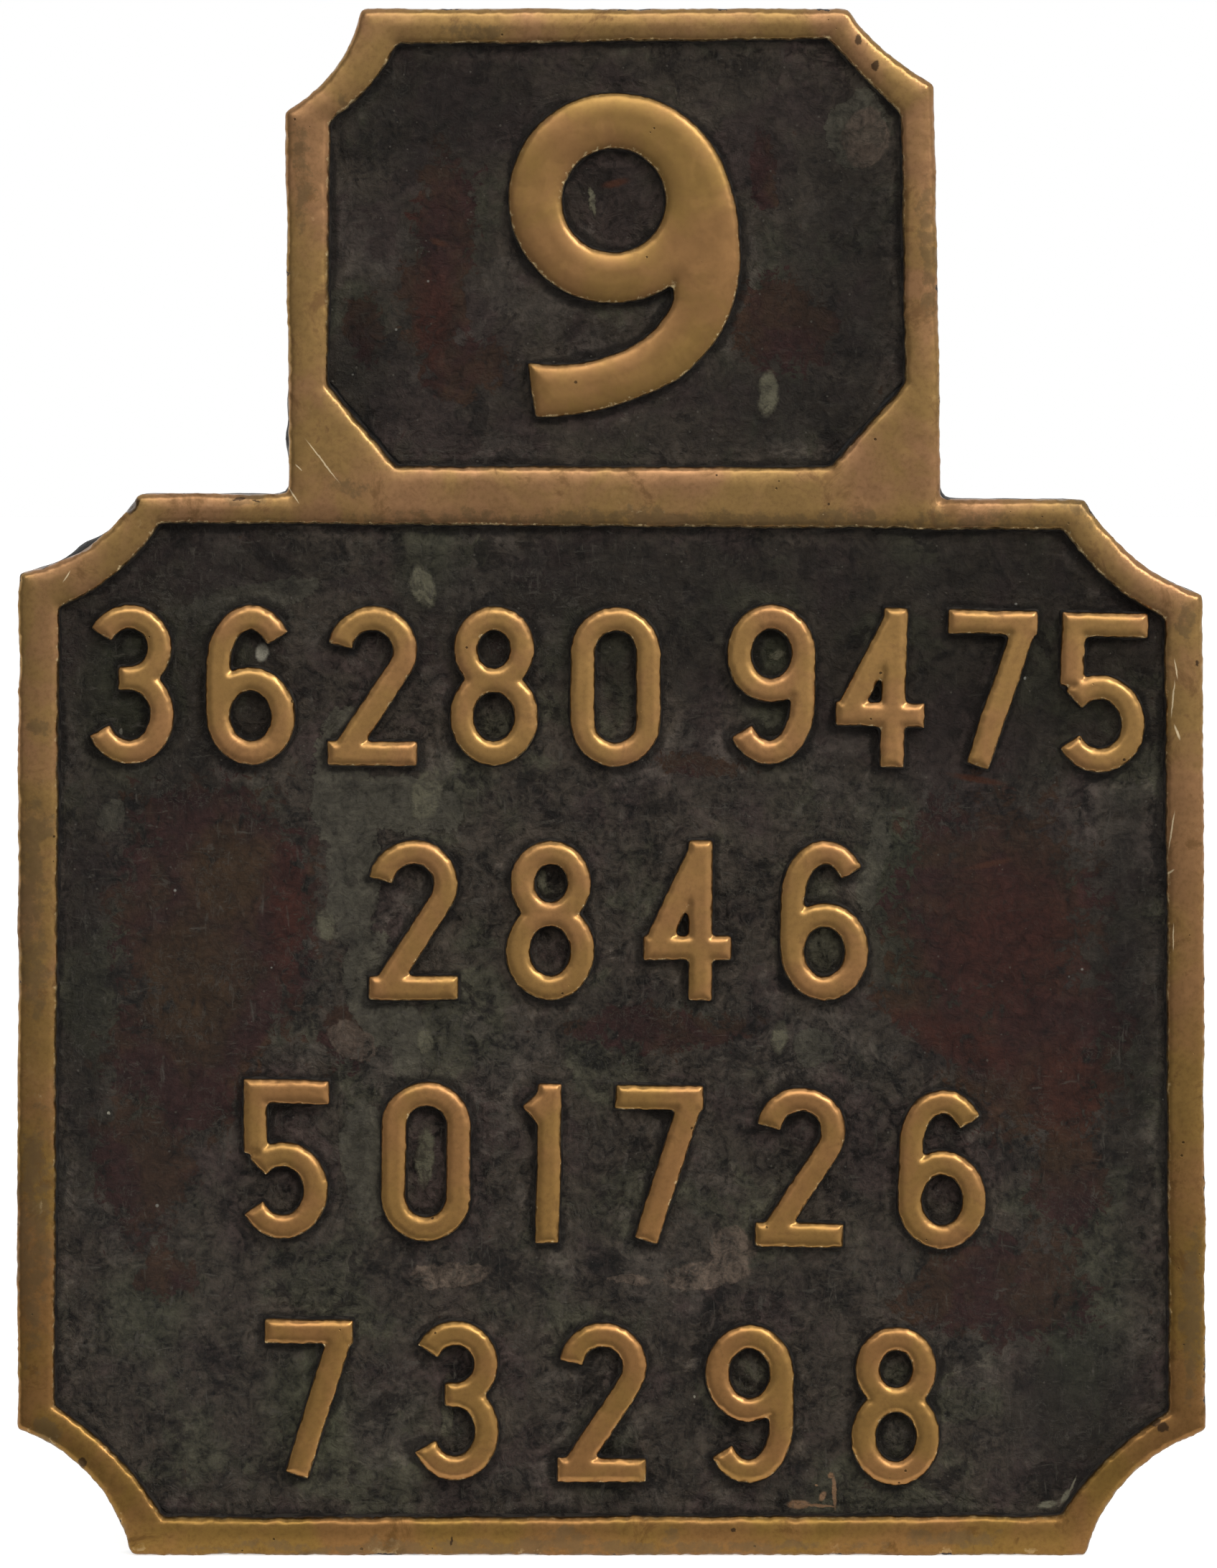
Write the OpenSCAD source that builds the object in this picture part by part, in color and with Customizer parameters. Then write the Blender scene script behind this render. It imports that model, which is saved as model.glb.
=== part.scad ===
// Signal box lever plate: a cast brass plate with a number tablet above a legend panel.
// The face looks along -Y and +Z is up. The origin is the middle of the rear seat,
// where the plate bears on the front edge of its lever, so the plate lies at negative Y.

/* [Plate outline] */
// Overall width of the plate
plate_w = 117.4; // [112:0.1:124]
// Overall height of the plate, number tablet included
plate_h = 152.4; // [148:0.1:158]
// Height of the number tablet above the shoulders
tablet_h = 47.7; // [45:0.1:50]
// Width of the number tablet
tablet_w = 64.2; // [61:0.1:67]

/* [Casting thickness] */
// Thickness of the plate behind the relief
slab_t = 3.2; // [2.4:0.1:5]
// Height of the rim and the figures above the panels
relief_h = 2.2; // [1.6:0.1:3]
// How far the seat stands behind the back of the plate
seat_t = 1.5; // [1:0.1:3]
// Thickness of the black paint in the panels
paint_t = 0.3; // [0.1:0.05:0.5]
// How far each wall of the relief spreads at its foot
foot_flare = 0.25; // [0.1:0.05:0.4]
// How far the worn crown of the relief draws in from its walls
crown_inset = 0.3; // [0.1:0.05:0.4]
// How far the plate's edge draws in from its back to its face
edge_draft = 0.05; // [0:0.05:0.4]

/* [Rim] */
// Width of the rim down the two sides of the legend panel
side_rim = 3.8; // [3:0.1:5]
// Width of the rim along the bottom
bottom_rim = 3.9; // [3:0.1:5]
// Width of the rim down the two sides of the tablet
tablet_rim = 3.8; // [3:0.1:5]
// Width of the rim across the top of the tablet
top_rim = 3.3; // [2.6:0.1:4.5]
// Width of the bar between the two panels
bridge = 5.6; // [4.5:0.1:7]
// Width of the rim below the shoulders
shoulder_rim = 2.8; // [2:0.1:4]

/* [Figures] */
// Height of the small figures
figure_h = 15.7; // [14:0.1:17]
// Width of the small figures
figure_w = 8.7; // [7.5:0.1:9]
// Stroke of the small figures
figure_stroke = 2.3; // [1.6:0.1:2.5]
// Outer radius of the lever number's bowl
bowl_r = 10.25; // [9.5:0.05:10.5]
// Radius of the hole in the bowl
counter_r = 5.1; // [4.5:0.05:5.6]

/* [Lever fixing] */
// Gap between the ears, for a lever 3/4 inch thick
lever_gap = 19.8; // [19.4:0.1:26]
// Thickness of each ear
ear_t = 7.5; // [6:0.1:10]
// Radius of the ears' rounded ends
ear_r = 10; // [9:0.5:12]
// How far the web at an ear's root stands out along the plate
web_w = 3; // [1:0.5:6]
// Height of the seat between the ears
seat_h = 52; // [46:1:56]
// Distance of the lever bolts behind the seat
bolt_y = 12; // [10:0.5:20]
// Height of the lever bolts above and below the seat's middle
bolt_z = 32; // [30:0.5:33]
// Radius of the lever bolts' shanks, 5/16 inch Whitworth
bolt_r = 3.95; // [3.1:0.01:4]
// Radius of the holes in the ears
ear_bore_r = 4.2; // [4.1:0.01:4.6]
// Width of the hexagons across their flats
hex_flats = 13.3; // [12:0.1:15]

/* [Hidden] */
BOW_STEPS = 10;
ARC_TURN = 15;
$fn = 64;

half_w = plate_w / 2;
top_z = plate_h / 2;
tab_x = tablet_w / 2;
shoulder_z = top_z - tablet_h;
panel_front = seat_t + slab_t;

// The pattern was made by hand, so no two corners match. Corners run clockwise from the
// top left as [x, z]. A cut is [across, down, bow], and its bow bends it into the plate.
body_corners = [
    [-half_w + 0.4, shoulder_z + 0.2],
    [half_w - 0.5, shoulder_z - 0.4],
    [half_w, -top_z],
    [-half_w, -top_z]
];
body_cuts = [[11.9, 7.8, 1.6], [11.7, 9.4, 1.4], [11.8, 12.4, 2.2], [11.2, 12.5, 2.3]];

tablet_corners = [
    [-tab_x + 0.1, top_z],
    [tab_x - 0.4, top_z],
    [tab_x + 0.4, shoulder_z - 4],
    [-tab_x + 0.4, shoulder_z - 4]
];
tablet_cuts = [[7.5, 10.1, 1.4], [8.5, 7.4, 0.75], [0, 0, 0], [0, 0, 0]];

legend_top = shoulder_z - shoulder_rim;
legend_corners = [
    [-half_w + side_rim + 0.6, legend_top + 0.1],
    [half_w - side_rim - 0.5, legend_top - 0.6],
    [half_w - side_rim + 0.2, -top_z + bottom_rim],
    [-half_w + side_rim - 0.1, -top_z + bottom_rim - 0.1]
];
legend_cuts = [[9.9, 8.2, 1.1], [10, 8.7, 0.8], [10.7, 10.3, 1], [10.7, 11, 1]];

number_bottom = legend_top - 0.1 + bridge;
number_corners = [
    [-tab_x + tablet_rim + 0.7, top_z - top_rim - 0.2],
    [tab_x - tablet_rim + 0.1, top_z - top_rim + 0.3],
    [tab_x - tablet_rim + 0.6, number_bottom],
    [-tab_x + tablet_rim + 0.4, number_bottom + 0.1]
];
number_cuts = [[6.5, 7.5, 0.75], [7.2, 7.3, 0.1], [7.4, 8.2, 0], [6.8, 8.1, 0]];

// Each run of figures is [name, text, left end, height of its middle, gap, tilt].
RUNS = [
    ["first_row_left", "36280", -51.75, 9.9, 3.25, -0.25],
    ["first_row_right", "9475", 11.3, 10, 2.15, -1.5],
    ["second_row", "2846", -23.85, -13.3, 4.8, -0.1],
    ["third_row", "501726", -36.6, -36.9, 5.3, -0.85],
    ["fourth_row", "73298", -34.25, -60.6, 5.8, -0.7]
];
ONE_W = 3.6;

// Heights of the relief's three steps: [from, to, spread].
relief_steps = [
    [0, 0.32 * relief_h, foot_flare],
    [0.32 * relief_h, 0.74 * relief_h, 0.05],
    [0.74 * relief_h, relief_h, -crown_inset]
];

hex_r = hex_flats / sqrt(3);
head_t = 6.8;
nut_t = 7.9;
washer_t = 1.6;
washer_r = 8.7;
thread_end = 3;
thread_gap = 0.03;
ear_outer = lever_gap / 2 + ear_t;
// How far the seat and the ears run into the slab
root = 0.5;
// How far a cutter runs beyond what it cuts
clear = 1;

CASTING = "#7a5c34";
BRASS = "#b08a4c";
PAINT = "#35322f";
IRON = "#6b625a";

function sum(list, i = 0) = i < len(list) ? list[i] + sum(list, i + 1) : 0;

// Points round an ellipse from one angle to another, no more than ARC_TURN apart.
function arc(centre, rx, ry, from, to) =
    let (steps = ceil(abs(to - from) / ARC_TURN))
    [
        for (i = [0 : steps]) let (a = from + (to - from) * i / steps)
            centre + [rx * cos(a), ry * sin(a)]
    ];

function ring(centre, rx, ry) = arc(centre, rx, ry, 0, 360 - ARC_TURN);

// Points from p to q on an arc whose middle stands off the chord by bow, to its right.
function bowed(p, q, bow) =
    let (chord = norm(q - p), side = [q.y - p.y, p.x - q.x] / chord)
    abs(bow) < 0.01 ? [p, q] : [
        for (i = [0 : BOW_STEPS]) let (t = i / BOW_STEPS)
            p + t * (q - p) + 4 * t * (1 - t) * bow * side
    ];

function cut_corner(corner, cut, right, upper) =
    let (
        level = corner - [(right ? 1 : -1) * cut[0], 0],
        plumb = corner - [0, (upper ? 1 : -1) * cut[1]]
    )
    cut[0] == 0 ? [corner]
        : right == upper ? bowed(level, plumb, cut[2]) : bowed(plumb, level, cut[2]);

// A four-sided outline with its corners cut away, clockwise from the top left.
function cut_outline(corners, cuts) = concat(
    cut_corner(corners[0], cuts[0], false, true),
    cut_corner(corners[1], cuts[1], true, true),
    cut_corner(corners[2], cuts[2], true, false),
    cut_corner(corners[3], cuts[3], false, false)
);

module plate_2d() {
    polygon(cut_outline(body_corners, body_cuts));
    polygon(cut_outline(tablet_corners, tablet_cuts));
}

module number_panel_2d() polygon(cut_outline(number_corners, number_cuts));

module legend_panel_2d() polygon(cut_outline(legend_corners, legend_cuts));

// Stands a drawing up in the XZ plane, with its thickness towards the front.
module upright() rotate([90, 0, 0]) children();

// Raises an outline off the panels with a spread foot and a drawn-in crown.
module relief() {
    upright() for (s = relief_steps)
        translate([0, 0, panel_front + s[0]])
            linear_extrude(s[1] - s[0]) offset(delta = s[2]) children();
}

// One line of a path moved sideways by d, mitred at each point.
function beside(path, d, closed) =
    let (n = len(path))
    [
        for (i = [0 : n - 1])
            let (
                back = path[closed ? (i + n - 1) % n : max(i - 1, 0)],
                ahead = path[closed ? (i + 1) % n : min(i + 1, n - 1)],
                along = (ahead - back) / norm(ahead - back)
            )
            path[i] + d * [-along.y, along.x]
    ];

module stroke(path, closed) {
    half = figure_stroke / 2;
    if (closed) difference() {
        polygon(beside(path, -half, true));
        polygon(beside(path, half, true));
    }
    else {
        near = beside(path, half, false);
        far = beside(path, -half, false);
        polygon(concat(near, [for (i = [len(far) - 1 : -1 : 0]) far[i]]));
    }
}

// The strokes of one block numeral about its middle, each as [closed, path].
function strokes(c) =
    let (
        e = figure_stroke / 2,
        r = figure_w / 2 - e,
        m = figure_h / 2 - e,
        big = 0.545 * m,
        small = m - big
    )
    c == "0" ? [
        [true, concat(arc([0, m - r], r, r, 0, 180), arc([0, r - m], r, r, 180, 360))]
    ] : c == "1" ? [
        [false, [[0.6, -m - e], [0.6, m + e]]],
        [false, [[0.9, m], [-1.3, m - 2]]]
    ] : c == "2" ? [
        [false, concat(arc([0, m - r], r, r, 172, -28), [[0.4 - r, -m]])],
        [false, [[-r - e, -m], [r + e, -m]]]
    ] : c == "3" ? [
        [false, concat(arc([0, m - small], r - 0.2, small, 155, -90), [[-1, m - 2 * small]])],
        [false, concat([[-1, m - 2 * small]], arc([0, big - m], r, big, 90, -155))]
    ] : c == "4" ? [
        [false, [[0.4 * r, m], [-r, -0.4 * m]]],
        [false, [[-r - e, -0.4 * m], [r + e, -0.4 * m]]],
        [false, [[0.4 * r, m + e], [0.4 * r, -m - e]]]
    ] : c == "5" ? [
        [false, [[0.3 - r - e, m], [r + e, m]]],
        [false, [[0.3 - r, m], [0.3 - r, 0.1 * m]]],
        [false, arc([-0.1, big - m], r + 0.1, big, 140, -150)]
    ] : c == "6" || c == "9" ? let (f = c == "6" ? 1 : -1) [
        [true, f * ring([0, big - m], r, big)],
        [false, f * concat([[-r, big - m]], arc([0, 0.3 * m], r, 0.7 * m, 180, 35))]
    ] : c == "7" ? [
        [false, [[-r - e, m], [r + e, m]]],
        [false, [[r, m], [-0.35 * r, -m - 0.7 * e]]]
    ] : [
        [true, ring([0, m - small], r - 0.4, small)],
        [true, ring([0, big - m], r, big)]
    ];

module figure_2d(c) for (s = strokes(c)) stroke(s[1], s[0]);

function glyph_w(c) = c == "1" ? ONE_W : figure_w;

// The middle of a run's figure number i, along the run from its left end.
function figure_x(run, i) =
    sum([for (j = [0 : 1 : i - 1]) glyph_w(run[1][j]) + run[4]]) + glyph_w(run[1][i]) / 2;

module placed_figure_2d(run, i)
    translate([run[2], run[3]]) rotate(run[5]) translate([figure_x(run, i), 0])
        figure_2d(run[1][i]);

// The lever number: a round bowl, and a tail that swells down its right side.
bowl_centre = [0.15, top_z - 18.6];
counter_centre = [0.1, -0.2];
tail = concat(
    bowed([0.15, bowl_r], [10.45, 4.1], -1.75),
    bowed([10.45, 4.1], [12.4, -4.1], -0.45),
    bowed([12.4, -4.1], [6.45, -17.7], -2.05),
    bowed([6.45, -17.7], [-7.6, -21.45], -0.95),
    bowed([-8.35, -16.1], [2.25, -14.3], 0.9),
    bowed([2.25, -14.3], [5.95, -9.9], 0.5),
    [[5.95, -8.2]]
);

module lever_number_2d() translate(bowl_centre) difference() {
    union() {
        circle(bowl_r);
        polygon(tail);
    }
    translate(counter_centre) circle(counter_r);
}

module ear(side, z)
    translate([side * (lever_gap + ear_t) / 2, 0, z]) rotate([0, 90, 0])
        linear_extrude(ear_t, center = true) {
            translate([0, bolt_y]) circle(ear_r);
            translate([-ear_r, -seat_t - root]) square([2 * ear_r, bolt_y + seat_t + root]);
        }

// A sloping web that stiffens the root of an ear.
module ear_web(side, z)
    translate([side * ear_outer, 0, z - ear_r]) mirror([side < 0 ? 1 : 0, 0, 0])
        linear_extrude(2 * ear_r) polygon([
            [-clear, -seat_t - root], [web_w, -seat_t - root], [web_w, -seat_t],
            [0, web_w], [-clear, web_w]
        ]);

module across(x, z, r, length, sides = 64)
    translate([x, bolt_y, z]) rotate([0, 90, 0]) cylinder(r = r, h = length, $fn = sides);

module back_plate() color(CASTING) difference() {
    union() {
        upright() translate([0, 0, seat_t]) linear_extrude(slab_t / 2) plate_2d();
        upright() translate([0, 0, seat_t + slab_t / 2]) linear_extrude(slab_t / 2)
            offset(delta = -edge_draft) plate_2d();
        translate([-lever_gap / 2, -seat_t - root, -seat_h / 2])
            cube([lever_gap, seat_t + root, seat_h]);
        for (side = [-1, 1], z = [-bolt_z, bolt_z]) {
            ear(side, z);
            ear_web(side, z);
        }
    }
    for (z = [-bolt_z, bolt_z])
        across(-ear_outer - clear, z, ear_bore_r, 2 * (ear_outer + clear));
}

module raised_border() color(BRASS) upright() for (s = relief_steps)
    translate([0, 0, panel_front + s[0]]) linear_extrude(s[1] - s[0]) difference() {
        offset(delta = min(s[2], 0) - edge_draft) plate_2d();
        offset(delta = -s[2]) {
            number_panel_2d();
            legend_panel_2d();
        }
    }

// The black paint fills a panel round the feet of what stands in it.
module panel_paint() color(PAINT) upright() translate([0, 0, panel_front])
    linear_extrude(paint_t) difference() {
        offset(delta = -foot_flare) children(0);
        offset(delta = foot_flare) children(1);
    }

module number_panel_paint() panel_paint() {
    number_panel_2d();
    lever_number_2d();
}

module legend_panel_paint() panel_paint() {
    legend_panel_2d();
    for (run = RUNS, i = [0 : len(run[1]) - 1]) placed_figure_2d(run, i);
}

module lever_number() color(BRASS) relief() lever_number_2d();

module run_figure(run, i) color(BRASS) relief() placed_figure_2d(run, i);

module lever_bolts() color(IRON) for (z = [-bolt_z, bolt_z]) {
    across(-ear_outer - washer_t - head_t, z, hex_r, head_t, 6);
    across(-ear_outer - washer_t, z, bolt_r, 2 * (ear_outer + washer_t) + nut_t + thread_end);
}

module bolt_nuts() color(IRON) for (z = [-bolt_z, bolt_z]) difference() {
    across(ear_outer + washer_t, z, hex_r, nut_t, 6);
    across(ear_outer + washer_t - clear, z, bolt_r + thread_gap, nut_t + 2 * clear);
}

module bolt_washers() color(IRON)
    for (z = [-bolt_z, bolt_z], x = [-ear_outer - washer_t, ear_outer]) difference() {
        across(x, z, washer_r, washer_t);
        across(x - clear, z, ear_bore_r, washer_t + 2 * clear);
    }

function figure_node(run, i) = str(run[0], "_figure_", i + 1);

back_plate();
raised_border();
number_panel_paint();
legend_panel_paint();
lever_number();
for (run = RUNS, i = [0 : len(run[1]) - 1])
    run_figure(run, i);
lever_bolts();
bolt_nuts();
bolt_washers();
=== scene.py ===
import math
import bpy
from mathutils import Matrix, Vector


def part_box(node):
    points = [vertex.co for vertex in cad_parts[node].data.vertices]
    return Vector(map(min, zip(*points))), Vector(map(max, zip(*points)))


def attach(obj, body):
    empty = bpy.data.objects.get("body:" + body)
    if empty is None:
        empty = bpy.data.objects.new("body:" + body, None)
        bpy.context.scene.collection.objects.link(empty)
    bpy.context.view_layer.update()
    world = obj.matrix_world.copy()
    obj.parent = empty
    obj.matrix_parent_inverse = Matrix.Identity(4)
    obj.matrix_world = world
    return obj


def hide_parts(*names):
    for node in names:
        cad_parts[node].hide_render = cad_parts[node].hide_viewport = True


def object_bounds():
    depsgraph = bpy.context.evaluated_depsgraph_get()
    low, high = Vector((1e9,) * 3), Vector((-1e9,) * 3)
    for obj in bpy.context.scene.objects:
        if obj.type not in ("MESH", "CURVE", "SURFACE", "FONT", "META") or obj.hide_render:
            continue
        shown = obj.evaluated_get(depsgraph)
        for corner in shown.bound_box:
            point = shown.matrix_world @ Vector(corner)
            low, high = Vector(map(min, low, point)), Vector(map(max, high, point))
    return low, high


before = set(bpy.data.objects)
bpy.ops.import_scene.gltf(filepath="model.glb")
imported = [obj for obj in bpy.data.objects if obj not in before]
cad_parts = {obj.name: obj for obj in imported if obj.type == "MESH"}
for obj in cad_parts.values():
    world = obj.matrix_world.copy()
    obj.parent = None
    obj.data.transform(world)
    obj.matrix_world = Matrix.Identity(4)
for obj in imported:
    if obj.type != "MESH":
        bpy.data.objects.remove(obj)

cad_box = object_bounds()

# Sand-cast back of the plate, with its seat and the four ears that straddle the lever.
# It is the rough brass as it left the mould: never machined, browned all over by age.
MM = 0.001


def take_copy(name, nodes):
    """Makes a new piece from copies of CAD nodes, with their loose triangles merged."""
    bpy.ops.object.select_all(action="DESELECT")
    for node in nodes:
        copy = bpy.data.objects.new(name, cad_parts[node].data.copy())
        bpy.context.scene.collection.objects.link(copy)
        copy.select_set(True)
        bpy.context.view_layer.objects.active = copy
    if len(nodes) > 1:
        bpy.ops.object.join()
    piece = bpy.context.object
    piece.name = name
    piece.data.name = name
    piece.data.materials.clear()
    bpy.ops.object.mode_set(mode="EDIT")
    bpy.ops.mesh.select_all(action="SELECT")
    bpy.ops.mesh.remove_doubles(threshold=0.001 * MM)
    bpy.ops.object.mode_set(mode="OBJECT")
    return piece


def work(piece, kind, **settings):
    """Gives a piece one modifier and applies it."""
    tool = piece.modifiers.new(kind, kind)
    for key, value in settings.items():
        setattr(tool, key, value)
    bpy.context.view_layer.objects.active = piece
    bpy.ops.object.modifier_apply(modifier=tool.name)


def lumps(size, depth):
    """A cloud pattern, its lumps of this size in mm, to push a surface about with."""
    clouds = bpy.data.textures.new("lumps", "CLOUDS")
    clouds.noise_scale = size * MM
    clouds.noise_depth = depth
    return clouds


def roughen(piece, size, depth, height, **settings):
    """Pushes a surface in and out by lumps of this size, height mm from low to high."""
    work(piece, "DISPLACE", texture=lumps(size, depth), strength=height * MM, mid_level=0.5,
         **settings)


def finish_mesh(piece):
    """Shades a piece smooth and files off what its lumps raise beyond the box of the part."""
    (left, front, foot), (right, back, top) = cad_box
    for point in piece.data.vertices:
        point.co.x = min(max(point.co.x, left), right)
        point.co.y = min(max(point.co.y, front), back)
        point.co.z = min(max(point.co.z, foot), top)
    bpy.ops.object.select_all(action="DESELECT")
    piece.select_set(True)
    bpy.context.view_layer.objects.active = piece
    bpy.ops.object.shade_smooth()


def add_node(tree, kind, inputs=None, **settings):
    """Adds a node; inputs maps its sockets to plain values or to other nodes' outputs."""
    node = tree.nodes.new(kind)
    for key, value in settings.items():
        setattr(node, key, value)
    for socket, value in (inputs or {}).items():
        if isinstance(value, bpy.types.NodeSocket):
            tree.links.new(value, node.inputs[socket])
        else:
            node.inputs[socket].default_value = value
    return node


def maths(tree, operation, a, b=0.0, c=0.0):
    """One sum of up to three values, by its name in the Math node."""
    return add_node(tree, "ShaderNodeMath", {0: a, 1: b, 2: c}, operation=operation).outputs[0]


def times(tree, a, b):
    return maths(tree, "MULTIPLY", a, b)


def plus(tree, a, b):
    return maths(tree, "ADD", a, b)


def minus(tree, a, b):
    return maths(tree, "SUBTRACT", a, b)


def times_plus(tree, a, b, c):
    return maths(tree, "MULTIPLY_ADD", a, b, c)


def add_up(tree, parts):
    """Adds up patterns, each given with its weight."""
    total = 0.0
    for pattern, weight in parts:
        total = times_plus(tree, pattern, weight, total)
    return total


def blend(tree, amount, a, b, how="MIX"):
    """Mixes two colours."""
    node = add_node(tree, "ShaderNodeMix", data_type="RGBA", blend_type=how)
    for socket, value in ((0, amount), (6, a), (7, b)):
        if isinstance(value, bpy.types.NodeSocket):
            tree.links.new(value, node.inputs[socket])
        elif socket:
            node.inputs[socket].default_value = (*value, 1)
        else:
            node.inputs[socket].default_value = value
    return node.outputs[2]


def layer(tree, tone, mask, share, colour):
    """Lays a colour over a tone where a mask is, at most by this share."""
    return blend(tree, times(tree, mask, share), tone, colour)


def grade(tree, value, low, high, to_low=0.0, to_high=1.0):
    """Spreads a value from one range to another, smoothly and without going past it."""
    return add_node(
        tree, "ShaderNodeMapRange",
        {"Value": value, "From Min": low, "From Max": high, "To Min": to_low, "To Max": to_high},
        interpolation_type="SMOOTHSTEP",
    ).outputs[0]


def noise(tree, place, size, detail=4.0, rough=0.55, twist=0.0, stretch=None):
    """Noise with lumps of this size in mm, stretched by these amounts along x, y and z."""
    if stretch:
        place = add_node(
            tree, "ShaderNodeVectorMath", {0: place, 1: stretch}, operation="DIVIDE"
        ).outputs[0]
    return add_node(
        tree, "ShaderNodeTexNoise",
        {"Vector": place, "Scale": 1 / size, "Detail": detail, "Roughness": rough,
         "Distortion": twist},
    ).outputs[0]


def place_in_mm(tree):
    """Object coordinates in millimetres."""
    spot = add_node(tree, "ShaderNodeTexCoord").outputs["Object"]
    return add_node(
        tree, "ShaderNodeVectorMath", {0: spot, "Scale": 1 / MM}, operation="SCALE"
    ).outputs[0]


def new_finish(name, metallic, roughness, specular):
    """A new material; returns it, its node tree and its shader."""
    finish = bpy.data.materials.new(name)
    finish.use_nodes = True
    tree = finish.node_tree
    shader = tree.nodes["Principled BSDF"]
    shader.inputs["Metallic"].default_value = metallic
    shader.inputs["Roughness"].default_value = roughness
    shader.inputs["Specular IOR Level"].default_value = specular
    return finish, tree, shader


def set_relief(tree, shader, height, depth):
    """Raises a height pattern on the surface, depth in mm from 0 to 1."""
    bump = add_node(
        tree, "ShaderNodeBump", {"Height": height, "Strength": 1.0, "Distance": depth * MM}
    )
    tree.links.new(bump.outputs[0], shader.inputs["Normal"])


def small_lump(x, y, z, wide, deep, tall, turn):
    """A flattened ball, its half sizes in mm, turned in the plane of the face."""
    bpy.ops.mesh.primitive_uv_sphere_add(
        segments=24, ring_count=16, radius=MM, location=(x * MM, y * MM, z * MM),
        rotation=(0, math.radians(turn), 0), scale=(wide, deep, tall),
    )
    return bpy.context.object


def join_to(piece, others):
    """Joins other objects into a piece."""
    bpy.ops.object.select_all(action="DESELECT")
    for other in others:
        other.select_set(True)
    piece.select_set(True)
    bpy.context.view_layer.objects.active = piece
    bpy.ops.object.join()


PLATE_VOXEL = 0.66

# Metal that ran out of the mould: x, y, z, half sizes in mm, and turn in degrees.
FLASH = [(-31.55, -4.0, 37.6, 0.45, 1.2, 1.9, 0), (-31.6, -3.9, 34.2, 0.6, 1.2, 1.7, 2),
         (-51.5, -3.6, 23.2, 2.1, 1.1, 0.8, -32)]
sand_cast = take_copy("sand_cast_plate", ["back_plate"])
join_to(sand_cast, [small_lump(*flash) for flash in FLASH])
work(sand_cast, "REMESH", mode="VOXEL", voxel_size=PLATE_VOXEL * MM)
work(sand_cast, "SMOOTH", factor=0.5, iterations=3)
roughen(sand_cast, size=7, depth=2, height=0.3)
roughen(sand_cast, size=1.3, depth=1, height=0.14)
finish_mesh(sand_cast)

BROWN_BRASS = (0.09, 0.058, 0.028)
YELLOW_BRASS = (0.15, 0.093, 0.042)
CRUST_BROWN = (0.05, 0.038, 0.024)
VERDIGRIS = (0.11, 0.115, 0.07)
GRAIN_BLACK = (0.02, 0.016, 0.01)
EDGE_PAINT = (0.02, 0.018, 0.016)
browned, tree, shader = new_finish("browned_casting", metallic=0.85, roughness=0.55, specular=0.4)
mm = place_in_mm(tree)
clouded = noise(tree, mm, 16, detail=9, rough=0.68, twist=0.4)
grains = noise(tree, mm, 0.6, detail=4, rough=0.7)
crusted = noise(tree, mm, 6, detail=9, rough=0.72, twist=0.5)
tone = blend(tree, grade(tree, clouded, 0.4, 0.6), BROWN_BRASS, YELLOW_BRASS)
tone = blend(tree, grade(tree, crusted, 0.55, 0.6, 0, 0.65), tone, CRUST_BROWN)
tone = blend(tree, grade(tree, crusted, 0.4, 0.36, 0, 0.35), tone, VERDIGRIS)
tone = blend(tree, grade(tree, grains, 0.3, 0.7, 0.5, 0), tone, GRAIN_BLACK)

# The face and the front of its edges were painted with the panels, down to a ragged line.
depth = add_node(tree, "ShaderNodeSeparateXYZ", {0: mm}).outputs[1]
ragged = times_plus(tree, noise(tree, mm, 3, detail=6, rough=0.7), 3.0, depth)
painted = grade(tree, ragged, -1.2, -0.9, 1, 0)
tone = blend(tree, painted, tone, EDGE_PAINT)
tree.links.new(tone, shader.inputs["Base Color"])
tree.links.new(grade(tree, painted, 0, 1, 0.85, 0.05), shader.inputs["Metallic"])
tree.links.new(grade(tree, clouded, 0.3, 0.7, 0.62, 0.45), shader.inputs["Roughness"])
set_relief(tree, shader, times_plus(tree, crusted, 0.6, grains), depth=0.16)
sand_cast.data.materials.append(browned)
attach(sand_cast, "root")
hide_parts("back_plate")


# Raised border round both panels and the bar between them. It is cast with the plate, and
# a century of polishing has rounded its edges and bared it down to the edge of the paint.
FACE = -6.9  # y of the raised faces, in mm: the face looks towards -y
LEDGE = -6.33  # y of the step that the CAD has along their edges
CROWN = -6.78  # y to which that step is raised here, before the edges are rounded
PAINT_LINE = -6.22  # y at which bare metal ends on the walls
PAINT_TOP = -6.5  # y past which no paint is left
WALL_FOOT = -5.5  # y that the walls reach in front of, and no other face does


def crown_outline(node):
    """The edges round the walls of a raised node, as a wire at the height of its face."""
    wire = take_copy("outline", [node])
    bpy.ops.object.mode_set(mode="EDIT")
    bpy.ops.mesh.select_all(action="DESELECT")
    bpy.ops.object.mode_set(mode="OBJECT")
    for face in wire.data.polygons:
        face.select = face.center.y < WALL_FOOT * MM
    bpy.ops.object.mode_set(mode="EDIT")
    bpy.context.tool_settings.mesh_select_mode = (False, False, True)
    bpy.ops.mesh.region_to_loop()
    bpy.context.tool_settings.mesh_select_mode = (False, True, False)
    bpy.ops.mesh.select_all(action="INVERT")
    bpy.ops.mesh.delete(type="EDGE")
    bpy.ops.object.mode_set(mode="OBJECT")
    for point in wire.data.vertices:
        point.co.y = FACE * MM
    return wire


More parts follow.
